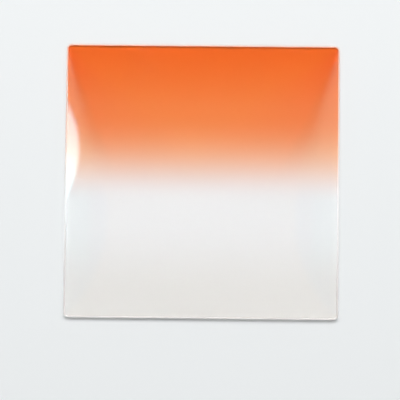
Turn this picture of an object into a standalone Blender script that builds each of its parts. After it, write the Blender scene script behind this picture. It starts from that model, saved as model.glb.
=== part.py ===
"""A square graduated color filter that slides into the slots of a lens filter holder.

It is one plate of cast optical resin. Its four corners are rounded, and the sharp edges
of both faces are eased all round, so that it slides in without chipping. One end is dyed
orange, and the dye thins out past the middle until the other end is clear.

The plate lies flat on its back face. The origin is at the centre of that face, +Z goes up
through the front face, and +Y goes towards the dyed end. Lengths are in metres.
"""

import math

import bmesh
import bpy

# The plate
SIDE = 0.083
THICKNESS = 0.002
CORNER_RADIUS = 0.0015
EDGE_RADIUS = 0.0004

# How finely the two kinds of round are cut into flats
CORNER_STEPS = 14
EDGE_STEPS = 4

# The dye, as distances from the dyed end, and how much of it is left where the fade starts
FADE_START = 0.021
FADE_END = 0.0467
DENSITY_AT_FADE_START = 0.69

# The light that one pass through the plate lets by, as linear red, green and blue
DYED_END_COLOR = (0.985, 0.383, 0.16)
CLEAR_RESIN_COLOR = (0.98, 0.97, 0.96)
RESIN_ROUGHNESS = 0.02
RESIN_IOR = 1.498


def clear_scene():
    """Empties the file, so that the plate is all it holds."""
    for obj in list(bpy.data.objects):
        bpy.data.objects.remove(obj, do_unlink=True)


def upright_edges(bm):
    """The edges that run through the thickness, one at each corner of the square."""
    return [e for e in bm.edges if e.verts[0].co.z != e.verts[1].co.z]


def rim_edges(bm):
    """The edges round the outline of the front face and of the back face."""
    level = [e for e in bm.edges if e.verts[0].co.z == e.verts[1].co.z]
    return [e for e in level if e.calc_face_angle(0.0) > math.radians(45)]


def round_off(bm, edges, radius, steps):
    """Rounds edges with a quarter circle of that radius, cut into that many flats."""
    bmesh.ops.bevel(
        bm,
        geom=edges,
        offset=radius,
        offset_type="OFFSET",
        segments=steps,
        profile=0.5,
        affect="EDGES",
        clamp_overlap=True,
    )


def plate_mesh():
    """A square slab on the plane z = 0, with round corners and then eased edges."""
    bm = bmesh.new()
    bmesh.ops.create_cube(bm, size=1.0)
    bmesh.ops.translate(bm, verts=bm.verts, vec=(0.0, 0.0, 0.5))
    bmesh.ops.scale(bm, verts=bm.verts, vec=(SIDE, SIDE, THICKNESS))
    round_off(bm, upright_edges(bm), CORNER_RADIUS, CORNER_STEPS)
    round_off(bm, rim_edges(bm), EDGE_RADIUS, EDGE_STEPS)
    bmesh.ops.recalc_face_normals(bm, faces=bm.faces)
    mesh = bpy.data.meshes.new("filter_plate")
    bm.to_mesh(mesh)
    bm.free()
    mesh.shade_smooth()
    mesh.set_sharp_from_angle(angle=math.radians(30))
    return mesh


def dyed_resin():
    """Clear resin whose dye is thickest at +Y, thins slowly and then fades out smoothly.

    The amount of dye is a straight taper along the plate, times a smooth step from the
    end of the fade to its start. Each layer of dye takes away the same share of light, so
    the color is the dyed end's to the power of that amount, times the clear resin's to the
    power of the rest.
    """
    material = bpy.data.materials.new("dyed_resin")
    material.use_nodes = True
    nodes, links = material.node_tree.nodes, material.node_tree.links
    shader = nodes["Principled BSDF"]
    shader.inputs["Roughness"].default_value = RESIN_ROUGHNESS
    shader.inputs["Metallic"].default_value = 0.0
    shader.inputs["IOR"].default_value = RESIN_IOR
    shader.inputs["Transmission Weight"].default_value = 1.0

    place = nodes.new("ShaderNodeTexCoord")
    along = nodes.new("ShaderNodeSeparateXYZ")
    links.new(place.outputs["Object"], along.inputs[0])
    dyed_end = SIDE / 2

    taper = nodes.new("ShaderNodeMapRange")
    taper.inputs["From Min"].default_value = dyed_end - FADE_START
    taper.inputs["From Max"].default_value = dyed_end
    taper.inputs["To Min"].default_value = DENSITY_AT_FADE_START
    taper.inputs["To Max"].default_value = 1.0

    fade = nodes.new("ShaderNodeMapRange")
    fade.interpolation_type = "SMOOTHSTEP"
    fade.inputs["From Min"].default_value = dyed_end - FADE_END
    fade.inputs["From Max"].default_value = dyed_end - FADE_START

    dye = nodes.new("ShaderNodeMath")
    dye.operation = "MULTIPLY"
    for half, step in enumerate((taper, fade)):
        links.new(along.outputs["Y"], step.inputs["Value"])
        links.new(step.outputs["Result"], dye.inputs[half])

    rest = nodes.new("ShaderNodeMath")
    rest.operation = "SUBTRACT"
    rest.inputs[0].default_value = 1.0
    links.new(dye.outputs[0], rest.inputs[1])

    tint = nodes.new("ShaderNodeMix")
    tint.data_type = "RGBA"
    tint.blend_type = "MULTIPLY"
    tint.inputs["Factor"].default_value = 1.0
    for side, color, share in (("A", DYED_END_COLOR, dye), ("B", CLEAR_RESIN_COLOR, rest)):
        power = nodes.new("ShaderNodeGamma")
        power.inputs["Color"].default_value = (*color, 1.0)
        links.new(share.outputs[0], power.inputs["Gamma"])
        links.new(power.outputs[0], tint.inputs[side])
    links.new(tint.outputs["Result"], shader.inputs["Base Color"])
    return material


def main():
    clear_scene()
    plate = bpy.data.objects.new("filter_plate", plate_mesh())
    plate.data.materials.append(dyed_resin())
    bpy.context.scene.collection.objects.link(plate)


main()
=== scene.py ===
"""A square graduated color filter, dressed and lit on a pale table.

The plate is one closed surface that takes its sizes from the model in the frame. Its resin
is see-through, with an orange dye that is thickest at the +Y end and fades to clear. Both
faces are polished, and the edge between them is finely ground.
"""

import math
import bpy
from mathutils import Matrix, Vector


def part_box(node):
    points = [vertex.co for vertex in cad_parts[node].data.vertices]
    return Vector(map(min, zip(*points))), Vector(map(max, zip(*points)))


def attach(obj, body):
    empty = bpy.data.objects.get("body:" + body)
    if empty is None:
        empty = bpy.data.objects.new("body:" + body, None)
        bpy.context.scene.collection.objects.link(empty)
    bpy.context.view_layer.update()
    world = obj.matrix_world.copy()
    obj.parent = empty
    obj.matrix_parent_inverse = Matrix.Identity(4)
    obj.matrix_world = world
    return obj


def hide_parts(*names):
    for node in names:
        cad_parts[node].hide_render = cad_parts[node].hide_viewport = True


bl_info = {
    "name": "Graduated Filter Plate",
    "version": (1, 0, 0),
    "blender": (4, 5, 0),
    "location": "3D View > Sidebar > Filter Plate",
    "description": "Builds a square graduated color filter and the table it is shown on",
    "category": "Add Mesh",
}

import bpy
import numpy as np
from bpy.props import FloatProperty, FloatVectorProperty, IntProperty, PointerProperty
from bpy.types import Operator, Panel, PropertyGroup
from mathutils import Matrix, Vector

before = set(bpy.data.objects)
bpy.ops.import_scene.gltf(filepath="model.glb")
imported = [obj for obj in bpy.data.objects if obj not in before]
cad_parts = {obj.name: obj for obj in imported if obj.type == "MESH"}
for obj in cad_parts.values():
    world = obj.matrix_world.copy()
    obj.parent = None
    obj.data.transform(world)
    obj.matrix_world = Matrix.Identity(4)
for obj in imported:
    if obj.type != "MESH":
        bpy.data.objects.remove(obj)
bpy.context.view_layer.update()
LOW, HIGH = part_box("filter_plate")

# How near to the side of the box a point of the band lies
ON_SIDE = 1e-6

# The steps from a face's centre to its outline, and where the row past each end of a round
# edge lies, as a share of its radius
FACE_STEPS = 7
PAST_ROUND = 1.25

RESIN_IOR = 1.498

# The powers of the yellow dye's and the clear resin's shares, and where the clear resin turns
# from its middle's color to its end's, from the dyed end. The end's darker color is painted
# shade, for light that falls off towards the clear end.
YELLOW_POWER = 1.25
CLEAR_POWER = 4.0
CLEAR_SHADE_TURN = (0.054, 0.076)

# The marks in the polish: how fine each noise is, how smears and the two sets of hairlines are
# turned, over which range of the noise they and the patches come in, how much rougher a smear
# and a hairline are, and how high the ripple is
SMEAR_SCALE = (50.0, 90.0, 50.0)
SMEAR_TURN = 0.5
SMEAR_RANGE = (0.5, 0.75)
SMEAR_ROUGHNESS = 0.01
PATCH_SCALE = (70.0, 70.0, 70.0)
PATCH_RANGE = (0.5, 0.62)
HAIRLINE_SCALE = (40.0, 3600.0, 0.0)
HAIRLINE_TURNS = (0.35, -0.9)
HAIRLINE_RANGE = (0.7, 0.8)
HAIRLINE_ROUGHNESS = 0.12
RIPPLE_SCALE = (60.0, 60.0, 60.0)
RIPPLE_HEIGHT = 0.000002

# The range of the fine grain's noise over which its share goes from 0 to 1
GRAIN_RANGE = (0.35, 0.65)

# The ground edge: its streaks, with the least and the most of a finish's roughness that they
# have, how deep a layer tints its painted glow, in passes through the plate, and its two
# finishes, each with the strength of its painted glow. The glow is painted light on the edge,
# standing in for light carried along inside the resin. Rays that don't come straight from the
# camera see only the unseen share of a glow.
STREAK_SCALE = (160.0, 160.0, 9000.0)
STREAK_HEIGHT = 0.00001
STREAK_ROUGHNESS = (0.8, 1.2)
PAINTED_GLOW_DEPTH = 1.6
ARRIS_FINISH_AND_PAINTED_GLOW = {"transmission": 0.45, "roughness": 0.5, "glow": 0.16, "unseen": 1.0}
BAND_FINISH_AND_PAINTED_GLOW = {"transmission": 1.0, "roughness": 0.22, "glow": 0.28, "unseen": 0.143}

# The paper's tooth and finish, where its tone turns flat, how far it reaches and how far below
# the plate it lies
TOOTH_SCALE = (2600.0, 2600.0, 2600.0)
TOOTH_HEIGHT = 0.00002
PAPER_ROUGHNESS = 0.9
PAPER_SPECULAR = 0.1
FLAT_TONE = (0.09, 0.26)
TABLE_REACH = 4.0
TABLE_DROP = 0.00003

# The direction from what the camera looks at to the camera, and its roll, in degrees
CAMERA_AZIMUTH = 12.517
CAMERA_ELEVATION = 87.382
CAMERA_ROLL = -11.912
CAMERA_AIM = (-0.00051, -0.00564, 0.0)

# The studio's tone at each height of the direction that it is seen in, from 0 at the
# table's edge to 1 straight above, where it is dark
SKY_STOPS = ((0.0, 1.0), (0.5, 1.0), (0.93, 0.9), (0.975, 0.06), (1.0, 0.03))

# The lights that the plate's face mirrors. A disc is given by the middle and the radius of its
# image, and by half the width of its soft edge. A sheet over the dyed end has its color at
# each half slant from the corners of that end, with a pale wedge down each side and a dark
# crease further in. It comes in over its start and goes over its fade, from the dyed end, and
# it leans, so that a slant counts a little more on the left.
DISC_MIDDLE = (-0.0651, 0.0091, 0.0)
DISC_RADIUS = 0.0277
DISC_SOFTNESS = 0.001
DISC_LIGHT = (5.9, 12.0, 14.1)
SHEET_LIGHT = 2.1
SHEET_START = (0.0, 0.001)
SHEET_FADE = (0.029, 0.045)
SHEET_LEAN = 0.04
SHEET_STOPS = (
    (0.0, (0.34, 1.0, 0.78)),
    (0.085, (0.40, 1.0, 0.86)),
    (0.1, (0.15, 0.80, 0.70)),
    (0.14, (0.08, 0.42, 0.40)),
    (0.165, (0.0, 0.05, 0.1)),
    (0.19, (0.0, 0.0, 0.0)),
    (0.22, (0.40, 0.05, 0.0)),
    (0.4, (0.50, 0.14, 0.0)),
    (0.7, (0.62, 0.30, 0.0)),
)

# Past the dyed end, a warm tone lies between two circles, one beyond each side, and a cool tone
# lies along the sides as far as the clear end. The cool tone's width is from the side, and
# where both come in and where it ends are from the dyed end.
CIRCLE_MIDDLE = (0.0695, -0.0115, 0.0)
CIRCLE_RADIUS = 0.041
CIRCLE_SOFTNESS = 0.0015
TONES_START = (0.04, 0.048)
WARM_LIGHT = (0.65, 0.3, 0.0)
COOL_LIGHT = (0.0, 0.45, 0.35)
COOL_WIDTH = (0.006, 0.01)
COOL_END = (0.06, 0.072)

# Half the side of the card that carries these lights
CARD_HALF = 0.2


def plate_sizes():
    """The side, thickness, corner radius and edge radius of the plate in the frame.

    The flat band on the +X side ends where the corners start along Y, and where the eased
    edges start along Z, so each radius is what the band falls short of the box by.
    """
    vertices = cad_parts["filter_plate"].data.vertices
    points = np.empty(len(vertices) * 3)
    vertices.foreach_get("co", points)
    points = points.reshape(-1, 3)
    band = points[points[:, 0] > HIGH.x - ON_SIDE]
    corner = HIGH.y - band[:, 1].max()
    edge = band[:, 2].min() - LOW.z
    return HIGH.x - LOW.x, HIGH.z - LOW.z, float(corner), float(edge)


SIDE, THICKNESS, CORNER_RADIUS, EDGE_RADIUS = plate_sizes()


def length_value(name, description, default):
    """A length that a user may change."""
    return FloatProperty(name=name, description=description, default=default, unit="LENGTH")


def share_value(name, description, default):
    """A share from 0 to 1 that a user may change."""
    return FloatProperty(
        name=name, description=description, default=default, subtype="FACTOR", min=0.0, max=1.0
    )


def color_value(name, description, default):
    """A color that a user may change."""
    return FloatVectorProperty(
        name=name, description=description, default=default, subtype="COLOR", min=0.0, max=1.0
    )


def steps_value(name, description, default):
    """A number of flats that a user may change."""
    return IntProperty(name=name, description=description, default=default, min=2)


def depth_value(name, description, default):
    """A depth of resin that a user may change, in passes through the plate."""
    return FloatProperty(name=name, description=description, default=default, min=0.0)


class FILTER_PG_plate(PropertyGroup):
    """The plate's sizes, its dye and its finish."""

    side: length_value("Side", "Length of each side of the square", SIDE)
    thickness: length_value("Thickness", "From the back face to the front face", THICKNESS)
    corner_radius: length_value("Corner Radius", "Radius of the four corners", CORNER_RADIUS)
    edge_radius: length_value("Edge Radius", "Radius that eases both rims", EDGE_RADIUS)
    corner_steps: steps_value("Corner Steps", "Flats in each round corner", 24)
    edge_steps: steps_value("Edge Steps", "Flats across each eased edge", 10)
    red_dye: color_value(
        "Red Dye", "What one pass through the red dye leaves of white light", (0.939, 0.335, 0.37)
    )
    yellow_dye: color_value(
        "Yellow Dye", "The same for the yellow dye that is mixed with it", (1.0, 1.0, 0.36)
    )
    clear_color: color_value(
        "Clear Middle", "What one pass through the clear middle leaves of it", (0.963, 0.955, 0.957)
    )
    # Clear End is darker and a little warmer than Clear Middle: painted shade, for light that falls
    # off towards the clear end
    clear_end_shaded_color: color_value(
        "Clear End", "What one pass through the clear end leaves of it", (0.929, 0.914, 0.9)
    )
    edge_color: color_value(
        "Clear Edge", "The same for the ground edge round the clear resin", (0.96, 0.88, 0.87)
    )
    # The two glows are painted light: emission colors of the ground edge, by the clear middle and,
    # dimmer and pinker, by the clear end
    painted_edge_glow: color_value(
        "Painted Edge Glow", "Color that the edge of the clear middle glows in", (1.0, 0.99, 0.99)
    )
    painted_end_glow: color_value(
        "Painted End Glow", "Color that the rims of the clear end glow in", (0.42, 0.28, 0.27)
    )
    fade_start: length_value("Fade Start", "From the dyed end to where it starts to fade", 0.019)
    fade_end: length_value("Fade End", "From the dyed end to where the dye is gone", 0.0478)
    fade_density: share_value("Density at Fade", "How much dye is left where it fades", 0.7)
    arris_depth: depth_value("Dye in Arris", "Passes that tint the pale ground arris", 0.15)
    band_depth: depth_value("Dye in Band", "Passes that tint the side band", 1.3)
    polish: share_value("Polish", "Roughness of the two polished faces", 0.02)


class FILTER_PG_stage(PropertyGroup):
    """The table, the light on it and the place of the camera."""

    table_color: color_value("Table", "Color of the paper under the plate", (0.875, 0.898, 0.905))
    backdrop_color: color_value("Backdrop", "Color of the studio round it", (0.845, 0.87, 0.877))
    fill_light: share_value("Fill Light", "Share of the studio's tone that lights things", 0.06)
    camera_distance: length_value("Camera Distance", "From the camera to what it looks at", 0.42)
    camera_lens: FloatProperty(
        name="Lens", description="Focal length, in millimetres", default=124.34, unit="CAMERA"
    )


def rounded_square(half, radius, steps):
    """The outline of a square with round corners, as points in order round it.

    Each corner is a quarter circle about a centre that lies one radius inside both sides.
    A point is that centre plus the radius times the cosine and sine of its angle.
    """
    angle = np.linspace(0.0, math.pi / 2, steps + 1)
    turn = np.arange(4)[:, None] * math.pi / 2
    centre = (half - radius) * math.sqrt(2.0)
    x = centre * np.cos(turn + math.pi / 4) + radius * np.cos(turn + angle)
    y = centre * np.sin(turn + math.pi / 4) + radius * np.sin(turn + angle)
    return np.stack([x.ravel(), y.ravel()], axis=1)


def plate_profile(plate):
    """The section of the plate's edge, as rows of (how far in from the side, height).

    It runs from the back face out, up the side and in over the front face. An eased edge is
    a quarter circle: how far in is the radius times one minus the sine of the angle, and the
    height is the radius times one minus its cosine. A row just past each end of a quarter
    circle keeps the flat next to it truly flat.
    """
    radius = plate.edge_radius
    angle = np.linspace(0.0, math.pi / 2, plate.edge_steps + 1)
    inward = radius * (1.0 - np.sin(angle))
    upward = radius * (1.0 - np.cos(angle))
    past = radius * PAST_ROUND
    lower = np.stack([inward, upward], axis=1)
    lower = np.vstack([[past, 0.0], lower, [0.0, past]])
    upper = lower[::-1] * (1.0, -1.0) + (0.0, plate.thickness)
    return np.vstack([lower, upper])


# The plate's materials, by their place in its list
POLISHED, ARRIS, BAND = range(3)


def plate_surface(plate):
    """The plate's closed surface: the profile carried round the outline, and two flat faces.

    A point of the edge lies on the outline of a square that is smaller by how far in the
    profile is, at the profile's height. A point of a face is the face's first outline,
    scaled towards the centre. Rows run from the centre of the back face to that of the
    front face. Gives the points, the quads between rows, the triangles at the centres, and
    for each of these faces the place of its material.
    """
    half = plate.side / 2
    profile = plate_profile(plate)
    rings = [
        rounded_square(half - inset, plate.corner_radius - inset, plate.corner_steps)
        for inset, _ in profile
    ]
    shares = np.linspace(0.0, 1.0, FACE_STEPS + 1)[1:-1]
    back = [rings[0] * part for part in shares]
    front = [rings[-1] * part for part in shares[::-1]]
    outline = np.stack(back + rings + front)
    heights = [0.0] * len(back) + list(profile[:, 1]) + [plate.thickness] * len(front)

    rows, columns = outline.shape[:2]
    height = np.broadcast_to(np.array(heights)[:, None, None], (rows, columns, 1))
    points = np.concatenate([outline, height], axis=2).reshape(-1, 3)
    points = np.vstack([points, [0.0, 0.0, 0.0], [0.0, 0.0, plate.thickness]])

    number = np.arange(rows * columns).reshape(rows, columns)
    beside = np.roll(number, -1, axis=1)
    quads = np.stack([number[:-1], beside[:-1], beside[1:], number[1:]], axis=2).reshape(-1, 4)
    below = np.full(columns, rows * columns)
    above = below + 1
    bottom_fan = np.stack([below, beside[0], number[0]], axis=1)
    top_fan = np.stack([above, number[-1], beside[-1]], axis=1)

    face_rows = len(back) + 1
    band_rows = face_rows + plate.edge_steps
    finish = np.full(rows - 1, POLISHED)
    finish[face_rows:-face_rows] = ARRIS
    finish[band_rows:-band_rows] = BAND
    finish = np.concatenate([np.repeat(finish, columns), np.full(2 * columns, POLISHED)])
    return points, quads, np.vstack([bottom_fan, top_fan]), finish


def mesh_from_arrays(name, points, quads, triangles, finish):
    """A smooth shaded mesh of those points, quads and triangles."""
    corners = np.concatenate([quads.ravel(), triangles.ravel()])
    starts = np.concatenate(
        [np.arange(len(quads)) * 4, len(quads) * 4 + np.arange(len(triangles)) * 3]
    )
    mesh = bpy.data.meshes.new(name)
    mesh.vertices.add(len(points))
    mesh.vertices.foreach_set("co", points.ravel())
    mesh.loops.add(len(corners))
    mesh.loops.foreach_set("vertex_index", corners)
    mesh.polygons.add(len(starts))
    mesh.polygons.foreach_set("loop_start", starts)
    mesh.polygons.foreach_set("material_index", finish.astype(np.int32))
    mesh.update(calc_edges=True)
    mesh.validate()
    mesh.shade_smooth()
    return mesh


def add_node(tree, kind, **values):
    """A new node of that kind. A value is a property's, or an input's if its name is one."""
    node = tree.nodes.new(kind)
    for key, value in values.items():
        if hasattr(node, key):
            setattr(node, key, value)
        else:
            node.inputs[key.replace("_", " ")].default_value = value
    return node


def plug(tree, socket, value):
    """Links a socket to the value, or gives it the value where that is numbers."""
    if isinstance(value, (float, tuple)):
        socket.default_value = value
    else:
        tree.links.new(value, socket)


def calculate(tree, operation, *values):
    """The output of a Math node on those values."""
    node = add_node(tree, "ShaderNodeMath", operation=operation)
    for socket, value in zip(node.inputs, values):
        plug(tree, socket, value)
    return node.outputs[0]


def calculate_vector(tree, operation, first, second, output="Vector"):
    """An output of a Vector Math node on those values."""
    node = add_node(tree, "ShaderNodeVectorMath", operation=operation)
    plug(tree, node.inputs[0], first)
    plug(tree, node.inputs["Scale"] if operation == "SCALE" else node.inputs[1], second)
    return node.outputs[output]


def blend_range(tree, value, start, end, low=0.0, high=1.0, interpolation_type="SMOOTHSTEP"):
    """The output of a Map Range node: low to high, as the value goes from start to end."""
    node = add_node(tree, "ShaderNodeMapRange", interpolation_type=interpolation_type)
    names = ("Value", "From Min", "From Max", "To Min", "To Max")
    for name, given in zip(names, (value, start, end, low, high)):
        plug(tree, node.inputs[name], given)
    return node.outputs["Result"]


def noise_on_piece(tree, scale, turn=0.0, detail=2.0):
    """Noise on Object coordinates, turned about Z and then scaled along each axis."""
    place = add_node(tree, "ShaderNodeTexCoord")
    turned = add_node(tree, "ShaderNodeVectorRotate", rotation_type="Z_AXIS", Angle=turn)
    noise = add_node(tree, "ShaderNodeTexNoise", Scale=1.0, Roughness=0.6, Detail=detail)
    plug(tree, turned.inputs["Vector"], place.outputs["Object"])
    scaled = calculate_vector(tree, "MULTIPLY", turned.outputs["Vector"], scale)
    plug(tree, noise.inputs["Vector"], scaled)
    return noise.outputs["Fac"]


def set_stops(ramp, stops):
    """Gives a color ramp those stops, as pairs of a position and a color."""
    while len(ramp.elements) < len(stops):
        ramp.elements.new(0.5)
    for element, (position, color) in zip(ramp.elements, stops):
        element.position = position
        element.color = (*color, 1.0)


def new_group(name, inputs, outputs):
    """A shader node group with those sockets, and its input and output nodes."""
    group = bpy.data.node_groups.new(name, "ShaderNodeTree")
    for label, kind, value in inputs:
        socket = group.interface.new_socket(label, in_out="INPUT", socket_type=kind)
        socket.default_value = value
    for label, kind in outputs:
        group.interface.new_socket(label, in_out="OUTPUT", socket_type=kind)
    return group, add_node(group, "NodeGroupInput"), add_node(group, "NodeGroupOutput")


def dye_group(plate):
    """Graduated Dye: the color that light is left with after it has crossed the resin.

    The amount of dye tapers in a straight line from the dyed end to the start of the fade,
    times a smooth step down to the end of the fade. Dye takes away the same share of light in
    each layer, so the color is a product of powers: the red dye's to the amount, the yellow
    dye's to a power of the amount, because it thins out sooner, and the clear resin's to a
    power of the rest, each to the power of the depth of resin crossed. The clear resin turns
    from its middle's color to its end's by a smooth step. With the plate's clear colors, the
    end's darker color is painted shade, for light that falls off towards the clear end.
    """
    group, given, result = new_group(
        "Graduated Dye",
        (
            ("Red Dye", "NodeSocketColor", (*plate.red_dye, 1.0)),
            ("Yellow Dye", "NodeSocketColor", (*plate.yellow_dye, 1.0)),
            ("Clear Middle", "NodeSocketColor", (*plate.clear_color, 1.0)),
            ("Clear End", "NodeSocketColor", (*plate.clear_end_shaded_color, 1.0)),
            ("Dyed Edge", "NodeSocketFloat", plate.side / 2),
            ("Fade Start", "NodeSocketFloat", plate.fade_start),
            ("Fade End", "NodeSocketFloat", plate.fade_end),
            ("Fade Density", "NodeSocketFloat", plate.fade_density),
            ("Depth", "NodeSocketFloat", 1.0),
        ),
        (("Color", "NodeSocketColor"),),
    )
    value = given.outputs
    place = add_node(group, "ShaderNodeTexCoord")
    axes = add_node(group, "ShaderNodeSeparateXYZ")
    plug(group, axes.inputs[0], place.outputs["Object"])
    from_end = calculate(group, "SUBTRACT", value["Dyed Edge"], axes.outputs["Y"])
    taper = blend_range(
        group, from_end, 0.0, value["Fade Start"], 1.0, value["Fade Density"], "LINEAR"
    )
    fade = blend_range(group, from_end, value["Fade Start"], value["Fade End"], 1.0, 0.0)
    amount = calculate(group, "MULTIPLY", taper, fade)
    sooner = calculate(group, "POWER", amount, YELLOW_POWER)
    rest = calculate(group, "SUBTRACT", 1.0, amount)
    rest = calculate(group, "POWER", rest, CLEAR_POWER)
    # With the plate's clear colors this is painted shade: the clear resin darkens towards the clear
    # end
    clear = add_node(group, "ShaderNodeMix", data_type="RGBA")
    plug(group, clear.inputs["Factor"], blend_range(group, from_end, *CLEAR_SHADE_TURN))
    plug(group, clear.inputs["A"], value["Clear Middle"])
    plug(group, clear.inputs["B"], value["Clear End"])
    layers = []
    for tint, share in (
        (value["Red Dye"], amount),
        (value["Yellow Dye"], sooner),
        (clear.outputs["Result"], rest),
    ):
        power = add_node(group, "ShaderNodeGamma")
        plug(group, power.inputs["Color"], tint)
        plug(group, power.inputs["Gamma"], calculate(group, "MULTIPLY", share, value["Depth"]))
        layers.append(power.outputs[0])
    dyes = calculate_vector(group, "MULTIPLY", layers[0], layers[1])
    plug(group, result.inputs["Color"], calculate_vector(group, "MULTIPLY", dyes, layers[2]))
    return group


def grain_group():
    """Fine Grain: noise stretched along each axis, as a height and as a share.

    The share is a smooth step of the noise about its middle value.
    """
    group, given, result = new_group(
        "Fine Grain",
        (("Scale", "NodeSocketVector", (1000.0, 1000.0, 1000.0)),),
        (("Height", "NodeSocketFloat"), ("Share", "NodeSocketFloat")),
    )
    grain = noise_on_piece(group, given.outputs["Scale"], detail=3.0)
    plug(group, result.inputs["Height"], grain)
    plug(group, result.inputs["Share"], blend_range(group, grain, *GRAIN_RANGE))
    return group


def new_material(name):
    """A material with that name, its node tree and its Principled BSDF."""
    material = bpy.data.materials.new(name)
    material.use_nodes = True
    return material, material.node_tree, material.node_tree.nodes["Principled BSDF"]


def add_bump(tree, shader, height, strength, distance):
    """Bumps the shader's surface by the height, as a share of the distance."""
    bump = add_node(tree, "ShaderNodeBump", Strength=strength, Distance=distance)
    plug(tree, bump.inputs["Height"], height)
    plug(tree, shader.inputs["Normal"], bump.outputs["Normal"])


def dyed_resin_shader(name, dye, depth, transmission):
    """A material of dyed see-through resin, of which that depth shows, and its dye."""
    material, tree, shader = new_material(name)
    shader.inputs["IOR"].default_value = RESIN_IOR
    shader.inputs["Transmission Weight"].default_value = transmission
    tint = add_node(tree, "ShaderNodeGroup", node_tree=dye, Depth=depth)
    plug(tree, shader.inputs["Base Color"], tint.outputs["Color"])
    return material, tree, shader, tint


def polished_resin(plate, dye):
    """Polished resin, with the faint ripple, smears and hairlines of a filter in use.

    A hairline is the top of long thin noise, where coarse noise lets it show, and there are
    two sets of them that cross. Smears and hairlines only roughen the polish.
    """
    material, tree, shader, _ = dyed_resin_shader("graduated_resin", dye, 1.0, 1.0)
    smears = noise_on_piece(tree, SMEAR_SCALE, SMEAR_TURN, detail=3.0)
    smears = blend_range(tree, smears, *SMEAR_RANGE)
    patches = blend_range(tree, noise_on_piece(tree, PATCH_SCALE), *PATCH_RANGE)
    noises = [noise_on_piece(tree, HAIRLINE_SCALE, turn, detail=0.0) for turn in HAIRLINE_TURNS]
    sets = [blend_range(tree, noise, *HAIRLINE_RANGE) for noise in noises]
    hairlines = calculate(tree, "MULTIPLY", calculate(tree, "MAXIMUM", *sets), patches)
    rough = calculate(tree, "MULTIPLY_ADD", smears, SMEAR_ROUGHNESS, plate.polish)
    rough = calculate(tree, "MULTIPLY_ADD", hairlines, HAIRLINE_ROUGHNESS, rough)
    plug(tree, shader.inputs["Roughness"], rough)
    add_bump(tree, shader, noise_on_piece(tree, RIPPLE_SCALE), 1.0, RIPPLE_HEIGHT)
    return material


def ground_resin(name, plate, dye, grain, depth, painted_end_glow, finish):
    """Finely ground resin, with streaks that run round the plate.

    The edge has a painted glow: an emission in the color of a deep layer of the resin, which
    stands in for light carried along inside the resin that leaves it at the ground edge. Straight
    from the camera the glow shows in full, which makes up for the many times mirrored paths
    that a render ends.
    """
    material, tree, shader, tint = dyed_resin_shader(name, dye, depth, finish["transmission"])
    tint.inputs["Clear Middle"].default_value = (*plate.edge_color, 1.0)
    tint.inputs["Clear End"].default_value = (*plate.edge_color, 1.0)
    # Painted glow: an emission in the color of a deep layer, by the clear middle and by the clear
    # end
    painted_glow_tint = add_node(tree, "ShaderNodeGroup", node_tree=dye, Depth=PAINTED_GLOW_DEPTH)
    painted_glow_tint.inputs["Clear Middle"].default_value = (*plate.painted_edge_glow, 1.0)
    painted_glow_tint.inputs["Clear End"].default_value = (*painted_end_glow, 1.0)
    color = painted_glow_tint.outputs["Color"]
    if finish["unseen"] < 1.0:
        ray = add_node(tree, "ShaderNodeLightPath").outputs
        share = blend_range(tree, ray["Is Camera Ray"], 0.0, 1.0, finish["unseen"], 1.0, "LINEAR")
        color = calculate_vector(tree, "SCALE", color, share)
    plug(tree, shader.inputs["Emission Color"], color)
    shader.inputs["Emission Strength"].default_value = finish["glow"]
    streaks = add_node(tree, "ShaderNodeGroup", node_tree=grain, Scale=STREAK_SCALE)
    spread = (finish["roughness"] * part for part in STREAK_ROUGHNESS)
    rough = blend_range(tree, streaks.outputs["Share"], 0.0, 1.0, *spread, "LINEAR")
    plug(tree, shader.inputs["Roughness"], rough)
    add_bump(tree, shader, streaks.outputs["Height"], 0.3, STREAK_HEIGHT)
    return material


def table_paper(stage, grain):
    """Pale paper with a fine tooth, which far from the plate takes the studio's flat tone.

    The share of that tone is a smooth step of the distance from the plate.
    """
    material, tree, shader = new_material("table_paper")
    shader.inputs["Base Color"].default_value = (*stage.table_color, 1.0)
    shader.inputs["Roughness"].default_value = PAPER_ROUGHNESS
    shader.inputs["Specular IOR Level"].default_value = PAPER_SPECULAR
    tooth = add_node(tree, "ShaderNodeGroup", node_tree=grain, Scale=TOOTH_SCALE)
    add_bump(tree, shader, tooth.outputs["Height"], 0.5, TOOTH_HEIGHT)
    place = add_node(tree, "ShaderNodeTexCoord")
    reach = add_node(tree, "ShaderNodeVectorMath", operation="LENGTH")
    plug(tree, reach.inputs[0], place.outputs["Object"])
    flat = add_node(tree, "ShaderNodeEmission", Color=(*stage.backdrop_color, 1.0))
    both = add_node(tree, "ShaderNodeMixShader")
    plug(tree, both.inputs[0], blend_range(tree, reach.outputs["Value"], *FLAT_TONE))
    plug(tree, both.inputs[1], shader.outputs[0])
    plug(tree, both.inputs[2], flat.outputs[0])
    plug(tree, tree.nodes["Material Output"].inputs["Surface"], both.outputs[0])
    return material


class FILTER_OT_plate(Operator):
    """Builds the plate, with its round corners, eased edges and graduated dye"""

    bl_idname = "filter_plate.build"
    bl_label = "Filter Plate"

    def execute(self, context):
        plate = context.scene.filter_plate
        dye = dye_group(plate)
        grain = grain_group()
        mesh = mesh_from_arrays("filter_plate_dressed", *plate_surface(plate))
        mesh.materials.append(polished_resin(plate, dye))
        for name, *look in (
            ("ground_arris", plate.arris_depth, plate.painted_end_glow, ARRIS_FINISH_AND_PAINTED_GLOW),
            ("side_band", plate.band_depth, plate.painted_edge_glow, BAND_FINISH_AND_PAINTED_GLOW),
        ):
            mesh.materials.append(ground_resin(name, plate, dye, grain, *look))
        piece = bpy.data.objects.new("dressed_plate", mesh)
        context.collection.objects.link(piece)
        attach(piece, "root")
        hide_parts("filter_plate")
        return {"FINISHED"}


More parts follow.
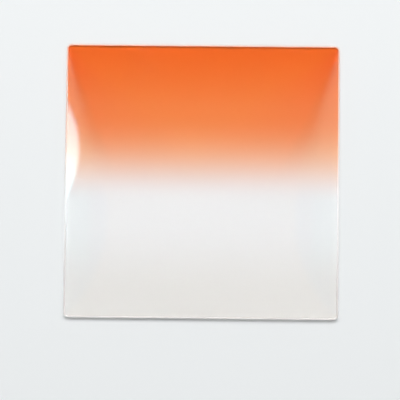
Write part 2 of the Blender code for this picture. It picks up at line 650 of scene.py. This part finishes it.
def square_sheet(name, half, height, material):
    """A level square about the Z axis, as an object with that material."""
    corners = [(-half, -half), (half, -half), (half, half), (-half, half)]
    mesh = bpy.data.meshes.new(name)
    mesh.from_pydata([(x, y, height) for x, y in corners], [], [(0, 1, 2, 3)])
    mesh.materials.append(material)
    sheet = bpy.data.objects.new(name, mesh)
    bpy.context.collection.objects.link(sheet)
    return sheet


def soft_box(name, place, size, radiance):
    """A lamp with an even face of that size and brightness, turned to look at the plate."""
    data = bpy.data.lights.new(name, "AREA")
    data.shape = "RECTANGLE"
    data.size, data.size_y = size
    data.energy = radiance * math.pi * size[0] * size[1]
    lamp = bpy.data.objects.new(name, data)
    lamp.location = place
    aim = Vector((0.0, 0.0, 0.0)) - Vector(place)
    lamp.rotation_euler = aim.to_track_quat("-Z", "Y").to_euler()
    lamp.visible_camera = False
    bpy.context.collection.objects.link(lamp)
    return lamp


def light_sky(stage):
    """A pale studio all round, dark straight above where the camera hangs.

    What is seen directly, in a reflection or through the resin is the backdrop's color times
    a ramp over the height of the direction. The light that it sheds is a share of that.
    """
    world = bpy.data.worlds.new("studio")
    world.use_nodes = True
    tree = world.node_tree
    background = tree.nodes["Background"]
    background.inputs["Color"].default_value = (*stage.backdrop_color, 1.0)
    place = add_node(tree, "ShaderNodeTexCoord")
    axes = add_node(tree, "ShaderNodeSeparateXYZ")
    tone = add_node(tree, "ShaderNodeValToRGB")
    plug(tree, axes.inputs[0], place.outputs["Generated"])
    plug(tree, tone.inputs[0], axes.outputs["Z"])
    set_stops(tone.color_ramp, [(height, (value,) * 3) for height, value in SKY_STOPS])

    ray = add_node(tree, "ShaderNodeLightPath").outputs
    share = blend_range(tree, ray["Diffuse Depth"], 0.0, 1.0, 1.0, stage.fill_light, "LINEAR")
    strength = calculate(tree, "MULTIPLY", tone.outputs["Color"], share)
    plug(tree, background.inputs["Strength"], strength)
    bpy.context.scene.world = world


def scaled_light(tree, color, *shares):
    """A color times the product of those shares."""
    product = shares[0]
    for share in shares[1:]:
        product = calculate(tree, "MULTIPLY", product, share)
    return calculate_vector(tree, "SCALE", color, product)


def circle_share(tree, x, y, middle, radius, softness, inside, outside):
    """The inside share within a circle, which turns smoothly to the outside share beyond it."""
    place = add_node(tree, "ShaderNodeCombineXYZ")
    plug(tree, place.inputs["X"], x)
    plug(tree, place.inputs["Y"], y)
    reach = calculate_vector(tree, "DISTANCE", place.outputs[0], middle, "Value")
    return blend_range(tree, reach, radius - softness, radius + softness, inside, outside)


def sheet_light(tree, x, aside, along):
    """The sheet over the dyed end, with a color for each half slant.

    The slant is the distance from the side over the distance from the dyed end. The sheet
    fades away with the dye.
    """
    lean = calculate(tree, "MULTIPLY_ADD", calculate(tree, "SIGN", x), -SHEET_LEAN, 0.5)
    slant = calculate(tree, "DIVIDE", aside, along)
    tone = add_node(tree, "ShaderNodeValToRGB")
    set_stops(tone.color_ramp, SHEET_STOPS)
    plug(tree, tone.inputs[0], calculate(tree, "MULTIPLY", slant, lean))
    start = blend_range(tree, along, *SHEET_START, 0.0, SHEET_LIGHT)
    fade = blend_range(tree, along, *SHEET_FADE, 1.0, 0.0)
    return scaled_light(tree, tone.outputs["Color"], start, fade)


def clear_part_light(tree, across, y, aside, along):
    """The warm tone between the two circles and the cool tone along the sides."""
    start = blend_range(tree, along, *TONES_START)
    between = circle_share(
        tree, across, y, CIRCLE_MIDDLE, CIRCLE_RADIUS, CIRCLE_SOFTNESS, 0.0, 1.0
    )
    beside = blend_range(tree, aside, *COOL_WIDTH, 1.0, 0.0)
    before_end = blend_range(tree, along, *COOL_END, 1.0, 0.0)
    warm = scaled_light(tree, WARM_LIGHT, between, start)
    return warm, scaled_light(tree, COOL_LIGHT, beside, before_end, start)


def mirrored_lights(tree, plate, lens):
    """The lights of the card, as a color at each point of it.

    The face mirrors each point of the card at the middle between it and the lens, and the
    lights are worked out at that middle, where their images are.
    """
    place = add_node(tree, "ShaderNodeTexCoord").outputs["Object"]
    middle = calculate_vector(tree, "SCALE", calculate_vector(tree, "ADD", place, lens), 0.5)
    axes = add_node(tree, "ShaderNodeSeparateXYZ")
    plug(tree, axes.inputs[0], middle)
    x, y = axes.outputs["X"], axes.outputs["Y"]
    half = plate.side / 2
    across = calculate(tree, "ABSOLUTE", x)
    aside = calculate(tree, "SUBTRACT", half, across)
    along = calculate(tree, "SUBTRACT", half, y)
    in_disc = circle_share(tree, x, y, DISC_MIDDLE, DISC_RADIUS, DISC_SOFTNESS, 1.0, 0.0)
    light = sheet_light(tree, x, aside, along)
    others = clear_part_light(tree, across, y, aside, along)
    for part in (scaled_light(tree, DISC_LIGHT, in_disc), *others):
        light = calculate_vector(tree, "ADD", light, part)
    return light


def mirrored_card(plate, lens):
    """A card level with the lens, with lights that only the plate's face mirrors.

    It lets everything through, and rays that have gone through the resin don't see its light.
    """
    material = bpy.data.materials.new("mirrored_light")
    material.cycles.emission_sampling = "NONE"
    material.use_nodes = True
    tree = material.node_tree
    tree.nodes.remove(tree.nodes["Principled BSDF"])
    glow = add_node(tree, "ShaderNodeEmission")
    ray = add_node(tree, "ShaderNodeLightPath").outputs
    strength = calculate(tree, "SUBTRACT", 1.0, ray["Is Transmission Ray"])
    plug(tree, glow.inputs["Color"], mirrored_lights(tree, plate, lens))
    plug(tree, glow.inputs["Strength"], strength)
    clear = add_node(tree, "ShaderNodeBsdfTransparent")
    both = add_node(tree, "ShaderNodeAddShader")
    plug(tree, both.inputs[0], glow.outputs[0])
    plug(tree, both.inputs[1], clear.outputs[0])
    plug(tree, tree.nodes["Material Output"].inputs["Surface"], both.outputs[0])

    card = square_sheet("mirrored_card", CARD_HALF, lens[2], material)
    card.visible_camera = False
    card.visible_diffuse = False
    card.visible_transmission = False
    card.visible_shadow = False


def look_from(stage):
    """The camera, nearly straight above the plate and leaning a little to the clear end."""
    data = bpy.data.cameras.new("camera")
    data.lens = stage.camera_lens
    data.sensor_width = 36.0
    camera = bpy.data.objects.new("camera", data)
    azimuth, elevation = math.radians(CAMERA_AZIMUTH), math.radians(CAMERA_ELEVATION)
    back = Vector(
        (
            math.sin(azimuth) * math.cos(elevation),
            -math.cos(azimuth) * math.cos(elevation),
            math.sin(elevation),
        )
    )
    place = Matrix.Translation(Vector(CAMERA_AIM) + back * stage.camera_distance)
    turn = (-back).to_track_quat("-Z", "Y").to_matrix().to_4x4()
    roll = Matrix.Rotation(math.radians(CAMERA_ROLL), 4, "Z")
    camera.matrix_world = place @ turn @ roll
    bpy.context.collection.objects.link(camera)
    bpy.context.scene.camera = camera


class FILTER_OT_stage(Operator):
    """Sets out the table, the lamps, the studio, the camera and the card by its lens"""

    bl_idname = "filter_plate.stage"
    bl_label = "Table, Light and Camera"

    def execute(self, context):
        stage = context.scene.filter_stage
        paper = table_paper(stage, bpy.data.node_groups["Fine Grain"])
        table = square_sheet("table", TABLE_REACH, -TABLE_DROP, paper)
        soft_box("far_box", (0.0, 0.41, 0.82), size=(0.6, 0.45), radiance=7.8)
        soft_box("near_box", (0.0, -0.55, 2.0), size=(0.9, 0.7), radiance=6.0)
        through_lamp = soft_box("through_lamp", (0.0, 0.0, 1.2), size=(1.0, 1.0), radiance=0.52)
        through_lamp.visible_diffuse = False
        through_lamp.visible_glossy = False
        light_sky(stage)
        look_from(stage)
        lens = tuple(context.scene.camera.matrix_world.translation)
        mirrored_card(context.scene.filter_plate, lens)
        context.scene.view_settings.view_transform = "Standard"
        context.scene.cycles.blur_glossy = 0.0
        return {"FINISHED"}


class FILTER_PT_sidebar(Panel):
    """Lists the steps and the values that they read"""

    bl_idname = "FILTER_PT_sidebar"
    bl_label = "Filter Plate"
    bl_space_type = "VIEW_3D"
    bl_region_type = "UI"
    bl_category = "Filter Plate"

    def draw(self, context):
        layout = self.layout
        for settings, operator in (
            (context.scene.filter_plate, FILTER_OT_plate),
            (context.scene.filter_stage, FILTER_OT_stage),
        ):
            for name in settings.__annotations__:
                layout.prop(settings, name)
            layout.operator(operator.bl_idname)


CLASSES = (FILTER_PG_plate, FILTER_PG_stage, FILTER_OT_plate, FILTER_OT_stage, FILTER_PT_sidebar)


def register():
    """Adds the classes, and the values of the plate and of the stage to the scene."""
    for cls in CLASSES:
        bpy.utils.register_class(cls)
    bpy.types.Scene.filter_plate = PointerProperty(type=FILTER_PG_plate)
    bpy.types.Scene.filter_stage = PointerProperty(type=FILTER_PG_stage)


def unregister():
    """Takes away what register adds."""
    del bpy.types.Scene.filter_stage
    del bpy.types.Scene.filter_plate
    for cls in reversed(CLASSES):
        bpy.utils.unregister_class(cls)


def main():
    """Builds the plate and the stage."""
    register()
    bpy.ops.filter_plate.build()
    bpy.ops.filter_plate.stage()


if __name__ == "__main__":
    main()
